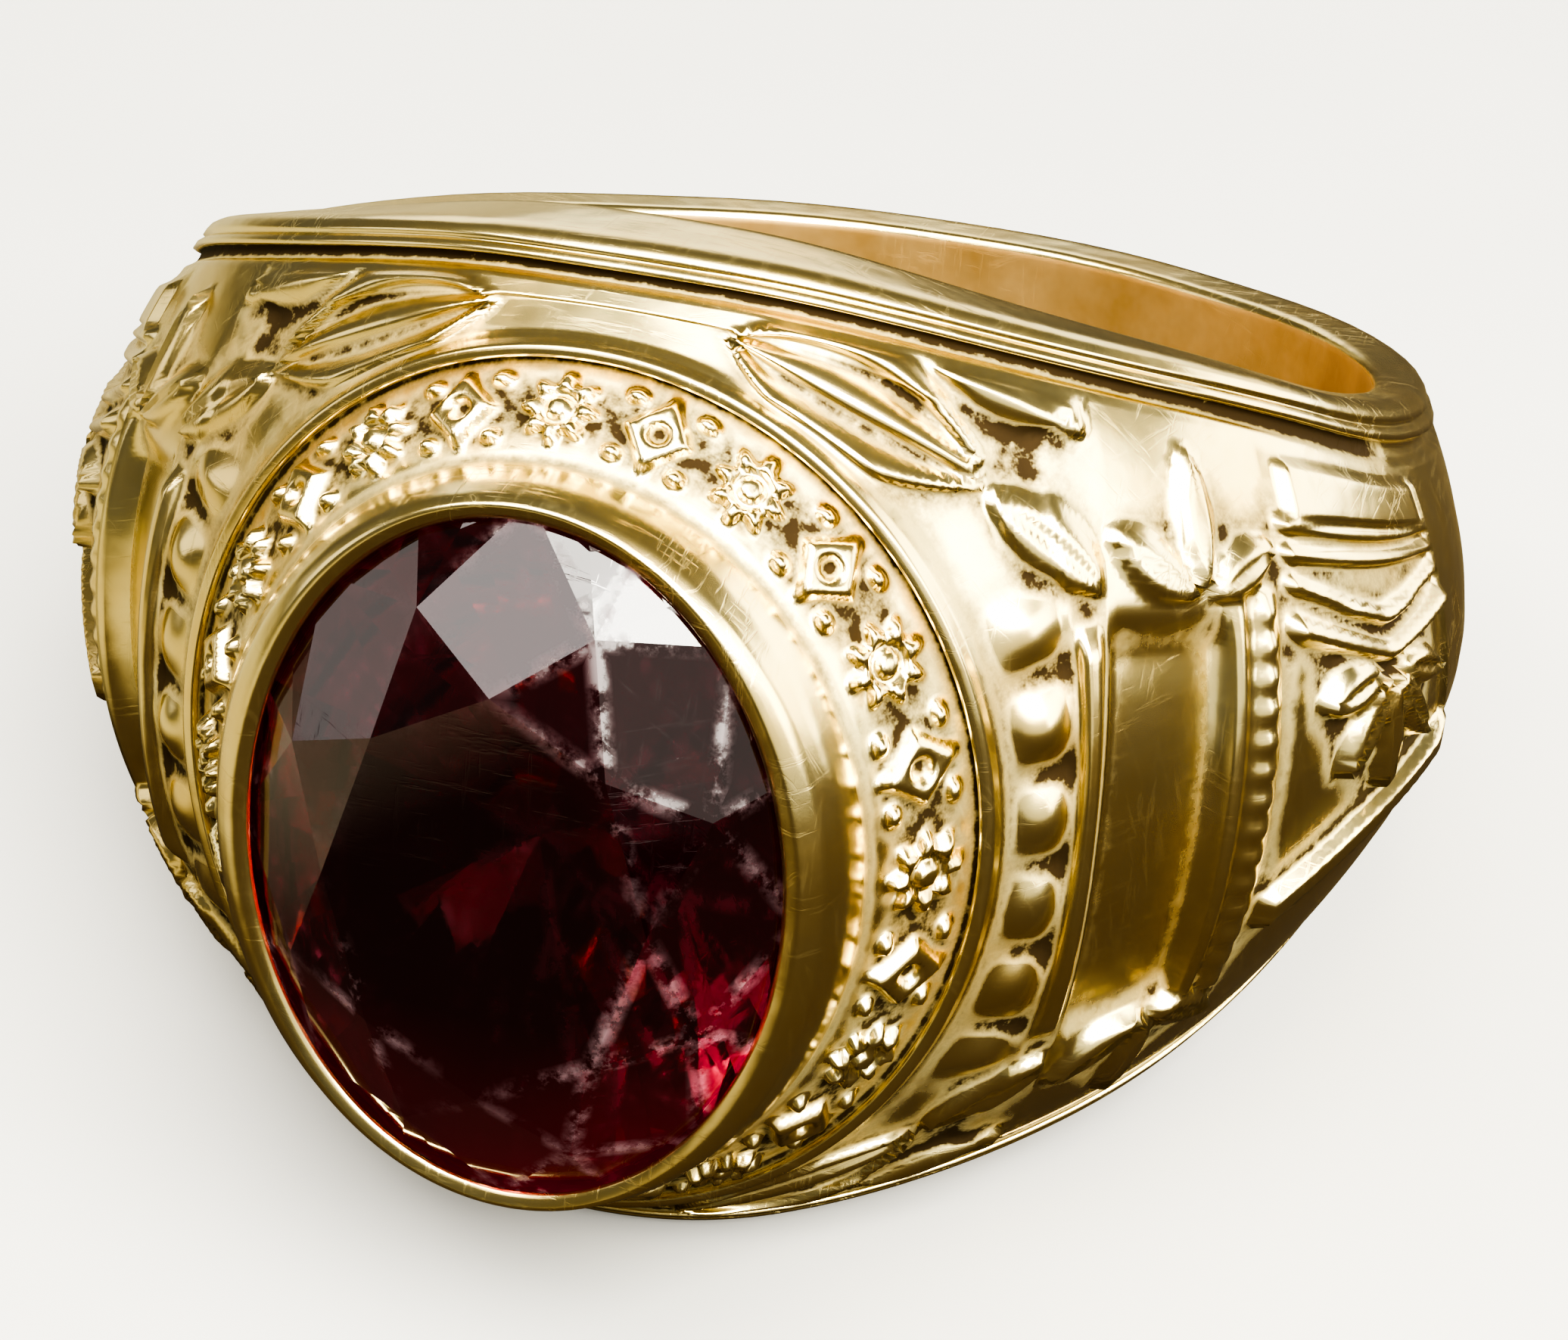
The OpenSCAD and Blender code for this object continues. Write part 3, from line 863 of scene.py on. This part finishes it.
def wearGroup():
    # scratches in patches and pits all over: a mask of scuffs and a height
    group = bpy.data.node_groups.new("wearAndScratches", "ShaderNodeTree")
    for name, value in (("Scratch Scale", 900.0), ("Pit Scale", 5000.0), ("Amount", 1.0)):
        socket = group.interface.new_socket(name, in_out="INPUT", socket_type="NodeSocketFloat")
        socket.default_value = value
    group.interface.new_socket("Scuffs", in_out="OUTPUT", socket_type="NodeSocketFloat")
    group.interface.new_socket("Height", in_out="OUTPUT", socket_type="NodeSocketFloat")
    inside = group.nodes.new("NodeGroupInput")
    outside = group.nodes.new("NodeGroupOutput")
    place = addNode(group, "ShaderNodeTexCoord").outputs["Object"]
    links = group.links
    total = None
    for turn, stretch in scratchWays:
        mapping = addNode(group, "ShaderNodeMapping", {"Rotation": turn, "Scale": stretch})
        links.new(place, mapping.inputs["Vector"])
        noise = addNode(group, "ShaderNodeTexNoise", {"Detail": 3.0, "Roughness": 0.6})
        links.new(mapping.outputs[0], noise.inputs["Vector"])
        links.new(inside.outputs["Scratch Scale"], noise.inputs["Scale"])
        lines = ramp(group, noise.outputs["Fac"], ((0.60, 0), (0.66, 1), (0.70, 0)))
        total = lines if total is None else mathNode(group, "MAXIMUM", total, lines)
    pits = addNode(group, "ShaderNodeTexNoise", {"Detail": 4.0, "Roughness": 0.65})
    links.new(place, pits.inputs["Vector"])
    links.new(inside.outputs["Pit Scale"], pits.inputs["Scale"])
    patches = ramp(group, noiseAt(group, place, 260.0, 3.0), ((0.42, 0.15), (0.62, 1)))
    patchy = mathNode(group, "MULTIPLY", total, patches)
    scuffs = mathNode(group, "MULTIPLY", patchy, inside.outputs["Amount"])
    links.new(scuffs, outside.inputs["Scuffs"])
    height = mathNode(group, "SUBTRACT", mathNode(group, "MULTIPLY", pits.outputs["Fac"], 0.35), scuffs)
    links.new(height, outside.inputs["Height"])
    return group


wear = wearGroup()


def wearNodeIn(tree, scratchScale, amount):
    node = addNode(tree, "ShaderNodeGroup", node_tree=wear)
    node.inputs["Scratch Scale"].default_value = scratchScale
    node.inputs["Amount"].default_value = amount
    return node


goldLook = {
    "bright": (0.90, 0.75, 0.34, 1),
    "warm": (0.82, 0.62, 0.23, 1),
    # colour of the patina and painted shade in the hollows
    "patina": (0.026, 0.015, 0.004, 1),
    "roughness": 0.22,
    "patinaAndShadeRoughness": 0.80,
    "hollow": 0.06,             # depth in mm that counts as one whole hollow
    "patinaStart": 0.10,
    "cloudScale": 420.0,
    "grainScale": 3800.0,
    "rippleScale": 640.0,
    "rippleDepth": 0.00012,
    "scratchScale": 900,
    "scratchDepth": 0.00001,
    "wear": 0.40,
    "metal": 1.0,
}
# inside the finger hole the gold is duller and painted a deeper amber, a painted reflection of the light from
# its own walls
holeLookPaintedAmber = dict(goldLook, bright=(0.58, 0.38, 0.14, 1), warm=(0.40, 0.24, 0.07, 1))
holeLookPaintedAmber.update(roughness=0.34, patinaStart=0.45, scratchScale=700, metal=0.85)


def castGold(name, look):
    # polished on the high places, dark and dull in the hollows: partly patina, partly painted shade
    material, tree, shader = newMaterial(name)
    links = tree.links
    place = addNode(tree, "ShaderNodeTexCoord").outputs["Object"]
    cavity = addNode(tree, "ShaderNodeAttribute", attribute_name="cavity")
    seat = addNode(tree, "ShaderNodeAttribute", attribute_name="seat")
    wearNode = wearNodeIn(tree, look["scratchScale"], look["wear"])
    cloud = noiseAt(tree, place, look["cloudScale"], 4.0, 0.6)
    grain = noiseAt(tree, place, look["grainScale"], 3.0, 0.7)
    # the grain breaks up the edge of the patina and painted shade, and the seat under the stone is painted
    # dark throughout as shade
    broken = mathNode(tree, "MULTIPLY", mathNode(tree, "ADD", grain, 0.05), 1.8)
    depth = mathNode(tree, "MULTIPLY", cavity.outputs["Fac"], broken)
    start = look["patinaStart"]
    # the deeper the hollow, the darker the gold: partly patina, partly painted shade
    recess = ramp(tree, depth, ((start, 0), (start + 0.35, 0.55), (min(1.0, start + 0.85), 1)))
    # painted shade: the seat under the stone takes the dark colour at least 0.95 of the way
    recess = mathNode(tree, "MAXIMUM", recess, mathNode(tree, "MULTIPLY", seat.outputs["Fac"], 0.95))
    gold = mixColour(tree, ramp(tree, cloud, ((0.35, 0), (0.65, 1))), look["bright"], look["warm"])
    links.new(mixColour(tree, recess, gold, look["patina"]), shader.inputs["Base Color"])
    dull = mathNode(tree, "MULTIPLY", recess, look["patinaAndShadeRoughness"] - look["roughness"])
    scuffed = mathNode(tree, "MULTIPLY", wearNode.outputs["Scuffs"], 0.20)
    clouded = mathNode(tree, "ADD", mathNode(tree, "MULTIPLY", cloud, 0.08), look["roughness"] - 0.05)
    rough = mathNode(tree, "ADD", mathNode(tree, "ADD", dull, scuffed), clouded)
    links.new(rough, shader.inputs["Roughness"])
    metal = mathNode(tree, "SUBTRACT", look["metal"], mathNode(tree, "MULTIPLY", recess, 0.15))
    links.new(metal, shader.inputs["Metallic"])
    # soft hand wear under the fine scratches
    worn = addNode(tree, "ShaderNodeBump", {"Strength": 0.30, "Distance": look["rippleDepth"]})
    links.new(noiseAt(tree, place, look["rippleScale"], 2.0), worn.inputs["Height"])
    scratched = addNode(tree, "ShaderNodeBump", {"Strength": 0.30, "Distance": look["scratchDepth"]})
    links.new(wearNode.outputs["Height"], scratched.inputs["Height"])
    links.new(worn.outputs["Normal"], scratched.inputs["Normal"])
    links.new(scratched.outputs["Normal"], shader.inputs["Normal"])
    return material


stoneLook = {
    "body": (0.055, 0.0016, 0.005, 1),
    # painted shade: darker glass round the stone's axis
    "middle": (0.010, 0.0004, 0.001, 1),
    # scuffed facet edges, which also glow as a painted sheen
    "scuffAndPaintedGlow": (0.62, 0.42, 0.42, 1),
    "deep": (0.030, 0.004, 0.006, 1),
    # painted red glow in the stone's low end
    "lit": (0.34, 0.004, 0.022, 1),
    "paintedGlowStrength": 0.30,
    "ior": 1.77,
    "roughness": 0.035,
    "chipScale": 1400.0,
    "zoneScale": 230.0,
    "scratchScale": 700,
    "scratchDepth": 0.000004,
    "wear": 0.6,
    "noPaintedGlowFrom": 0.0078,        # height in metres above which no painted glow is added
    "paintedGlowMaskFrom": 0.0030,       # and under which the painted red glow is strongest
}


def garnet():
    # deep red glass with scuffed facet edges, painted shade round its axis and a painted glow
    look = stoneLook
    material, tree, shader = newMaterial("garnetFacets")
    links = tree.links
    shader.inputs["Transmission Weight"].default_value = 1.0
    shader.inputs["IOR"].default_value = look["ior"]
    place = addNode(tree, "ShaderNodeTexCoord").outputs["Object"]
    edge = addNode(tree, "ShaderNodeAttribute", attribute_name="facetEdge").outputs["Fac"]
    axis = addNode(tree, "ShaderNodeAttribute", attribute_name="fromAxis").outputs["Fac"]
    wearNode = wearNodeIn(tree, look["scratchScale"], look["wear"])
    chips = ramp(tree, noiseAt(tree, place, look["chipScale"], 5.0, 0.7), ((0.46, 0), (0.60, 1)))
    zones = noiseAt(tree, place, look["zoneScale"], 2.0)
    chipped = mathNode(tree, "MULTIPLY", ramp(tree, edge, ((0.0, 1), (0.20, 0))), chips)
    mask = mathNode(tree, "MULTIPLY", chipped, ramp(tree, zones, ((0.45, 0.04), (0.60, 1))))
    # painted shade: the glass is painted darker round the stone's axis, under the table and down to the point
    centre = ramp(tree, axis, ((0.46, 1), (0.62, 0)))
    glass = mixColour(tree, centre, look["body"], look["middle"])
    links.new(mixColour(tree, mask, glass, look["scuffAndPaintedGlow"]), shader.inputs["Base Color"])
    # painted light: an emission makes the scuffs glow pale and the stone's low end glow red, redder lower
    # down
    split = addNode(tree, "ShaderNodeSeparateXYZ")
    links.new(place, split.inputs[0])
    low = addNode(tree, "ShaderNodeMapRange", {"From Min": look["noPaintedGlowFrom"], "From Max": look["paintedGlowMaskFrom"]})
    links.new(split.outputs["Z"], low.inputs["Value"])
    paintedGlowMask = mathNode(tree, "MULTIPLY", low.outputs["Result"], ramp(tree, zones, ((0.30, 0.35), (0.65, 1))))
    inside = mixColour(tree, paintedGlowMask, look["deep"], look["lit"])
    links.new(mixColour(tree, mask, inside, look["scuffAndPaintedGlow"]), shader.inputs["Emission Color"])
    # strength of the painted glow
    shader.inputs["Emission Strength"].default_value = look["paintedGlowStrength"]
    scuffed = mathNode(tree, "MULTIPLY", wearNode.outputs["Scuffs"], 0.12)
    rough = mathNode(tree, "ADD", mathNode(tree, "MULTIPLY", mask, 0.55), scuffed)
    links.new(mathNode(tree, "ADD", rough, look["roughness"]), shader.inputs["Roughness"])
    bump = addNode(tree, "ShaderNodeBump", {"Strength": 0.15, "Distance": look["scratchDepth"]})
    links.new(wearNode.outputs["Height"], bump.inputs["Height"])
    links.new(bump.outputs["Normal"], shader.inputs["Normal"])
    return material


body = buildBody()
body.data.materials.append(castGold("castGold", goldLook))
# the hole's gold is painted a deeper amber as a painted reflection of its walls
body.data.materials.append(castGold("holeGoldPaintedAmber", holeLookPaintedAmber))
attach(body, "root")
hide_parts("ring_body")

stone = buildStone()
stone.data.materials.append(garnet())
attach(stone, "root")
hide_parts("stone")

for node in frame["nodes"].values():
    node.data.materials.clear()
    dressed = stone if node.name == "stone" else body
    node.data.materials.append(dressed.data.materials[0])

studio = {
    "floorSize": 3.0,
    "floorColour": (0.36, 0.355, 0.345, 1),
    "floorShade": (0.33, 0.325, 0.315, 1),
    # painted reflection: what polished metal sees of the floor, dark, and paler on the left
    "floorPaintedReflection": (0.012, 0.009, 0.007, 1),
    "floorPaintedReflectionLeft": (0.13, 0.12, 0.085, 1),
    "leftTo": -0.026,
    "rightFrom": -0.016,
    "backdrop": (0.90, 0.90, 0.88, 1),
    "roomInGold": (0.11, 0.105, 0.095, 1),
    "lightsAim": (0, 0, 0.008),
    # name, place, size, power, colour
    "lights": [
        ("keyBox", (0.100, -0.090, 0.165), (0.17, 0.13), 2.3, (1.0, 0.975, 0.87)),
        ("wideCard", (0.150, -0.140, 0.095), (0.30, 0.17), 0.11, (1.0, 0.97, 0.87)),
        ("rightBox", (0.200, -0.015, 0.095), (0.11, 0.11), 0.30, (1.0, 0.97, 0.85)),
        ("topBox", (0.0, -0.030, 0.20), (0.20, 0.16), 1.3, (1.0, 0.97, 0.88)),
        ("holeBox", (-0.10, -0.02, 0.16), (0.06, 0.06), 0.20, (1.0, 0.96, 0.84)),
        ("frontCard", (-0.066, -0.120, 0.146), (0.06, 0.06), 0.040, (1.0, 0.96, 0.93)),
        ("leftCard", (-0.17, -0.03, 0.06), (0.10, 0.07), 0.026, (1.0, 0.96, 0.90)),
        ("rimCard", (0.16, 0.13, 0.04), (0.16, 0.09), 0.24, (1.0, 0.97, 0.87)),
        ("backCard", (-0.02, 0.20, 0.05), (0.26, 0.07), 0.10, (1.0, 0.96, 0.84)),
    ],
}


def paleFloor():
    material, tree, shader = newMaterial("paleFloor")
    place = addNode(tree, "ShaderNodeTexCoord").outputs["Object"]
    noise = noiseAt(tree, place, 90.0, 3.0)
    shade = mixColour(tree, noise, studio["floorColour"], studio["floorShade"])
    split = addNode(tree, "ShaderNodeSeparateXYZ")
    tree.links.new(place, split.inputs[0])
    limits = {"From Min": studio["leftTo"], "From Max": studio["rightFrom"], "To Min": 1.0, "To Max": 0.0}
    left = addNode(tree, "ShaderNodeMapRange", limits)
    tree.links.new(split.outputs["X"], left.inputs["Value"])
    # painted reflection: glossy rays see the floor dark and paler on the left, other rays see it pale
    paintedReflection = mixColour(tree, left.outputs["Result"], studio["floorPaintedReflection"], studio["floorPaintedReflectionLeft"])
    path = addNode(tree, "ShaderNodeLightPath")
    seen = mixColour(tree, path.outputs["Is Glossy Ray"], shade, paintedReflection)
    tree.links.new(seen, shader.inputs["Base Color"])
    shader.inputs["Roughness"].default_value = 0.7
    shader.inputs["Specular IOR Level"].default_value = 0.0
    return material


def buildFloor():
    h = studio["floorSize"] / 2
    mesh = bpy.data.meshes.new("floor")
    mesh.from_pydata([(-h, -h, 0), (h, -h, 0), (h, h, 0), (-h, h, 0)], [], [(0, 1, 2, 3)])
    mesh.materials.append(paleFloor())
    floor = bpy.data.objects.new("floor", mesh)
    bpy.context.scene.collection.objects.link(floor)


def buildRoom():
    # a pale backdrop for the camera, a dimmer room for the polished metal
    world = bpy.data.worlds.new("studio")
    world.use_nodes = True
    tree = world.node_tree
    ray = addNode(tree, "ShaderNodeLightPath")
    colour = mixColour(tree, ray.outputs["Is Camera Ray"], studio["roomInGold"], studio["backdrop"])
    tree.links.new(colour, tree.nodes["Background"].inputs["Color"])
    bpy.context.scene.world = world
    bpy.context.scene.view_settings.look = "AgX - High Contrast"


def buildLights():
    aim = Vector(studio["lightsAim"])
    for name, place, size, power, colour in studio["lights"]:
        light = bpy.data.lights.new(name, "AREA")
        light.shape = "RECTANGLE"
        light.size, light.size_y = size
        light.energy = power
        light.color = colour
        lamp = bpy.data.objects.new(name, light)
        lamp.location = place
        lamp.rotation_euler = (aim - Vector(place)).to_track_quat("-Z", "Y").to_euler()
        bpy.context.scene.collection.objects.link(lamp)


# The camera as seen from the standing ring: degrees, mm, and pixels at the photo's full width.
shot = {
    "azimuth": 14.30,
    "elevation": 24.17,
    "roll": 4.46,
    "distance": 58.78,
    "focalPixels": 4169.7,
    "widthPixels": 2072,
    "sensorWidth": 36,
    "aimAcross": -0.18,
    "aimAlong": -3.25,
}


def buildCamera():
    # placed round the standing ring, then laid down with it
    az, el, roll = (math.radians(shot[k]) for k in ("azimuth", "elevation", "roll"))
    level = np.array([math.cos(az), math.sin(az), 0])
    target = shot["aimAcross"] * level + np.array([0, 0, shot["aimAlong"]])
    back = np.array([math.sin(az) * math.cos(el), -math.cos(az) * math.cos(el), math.sin(el)])
    steep = np.cross(back, level)
    right = math.cos(roll) * level + math.sin(roll) * steep
    up = math.cos(roll) * steep - math.sin(roll) * level
    turned = np.stack([ringTurn @ right, ringTurn @ up, ringTurn @ back], 1)
    spot = (ringTurn @ (target + shot["distance"] * back) + holeCentre) * mm
    matrix = Matrix(turned.tolist()).to_4x4()
    matrix.translation = Vector(spot.tolist())
    data = bpy.data.cameras.new("photoCamera")
    data.sensor_width = shot["sensorWidth"]
    data.lens = shot["sensorWidth"] * shot["focalPixels"] / shot["widthPixels"]
    data.clip_start, data.clip_end = 0.001, 10
    camera = bpy.data.objects.new("photoCamera", data)
    camera.matrix_world = matrix
    bpy.context.scene.collection.objects.link(camera)
    bpy.context.scene.camera = camera


buildFloor()
buildRoom()
buildLights()
buildCamera()
print("studio and camera set")
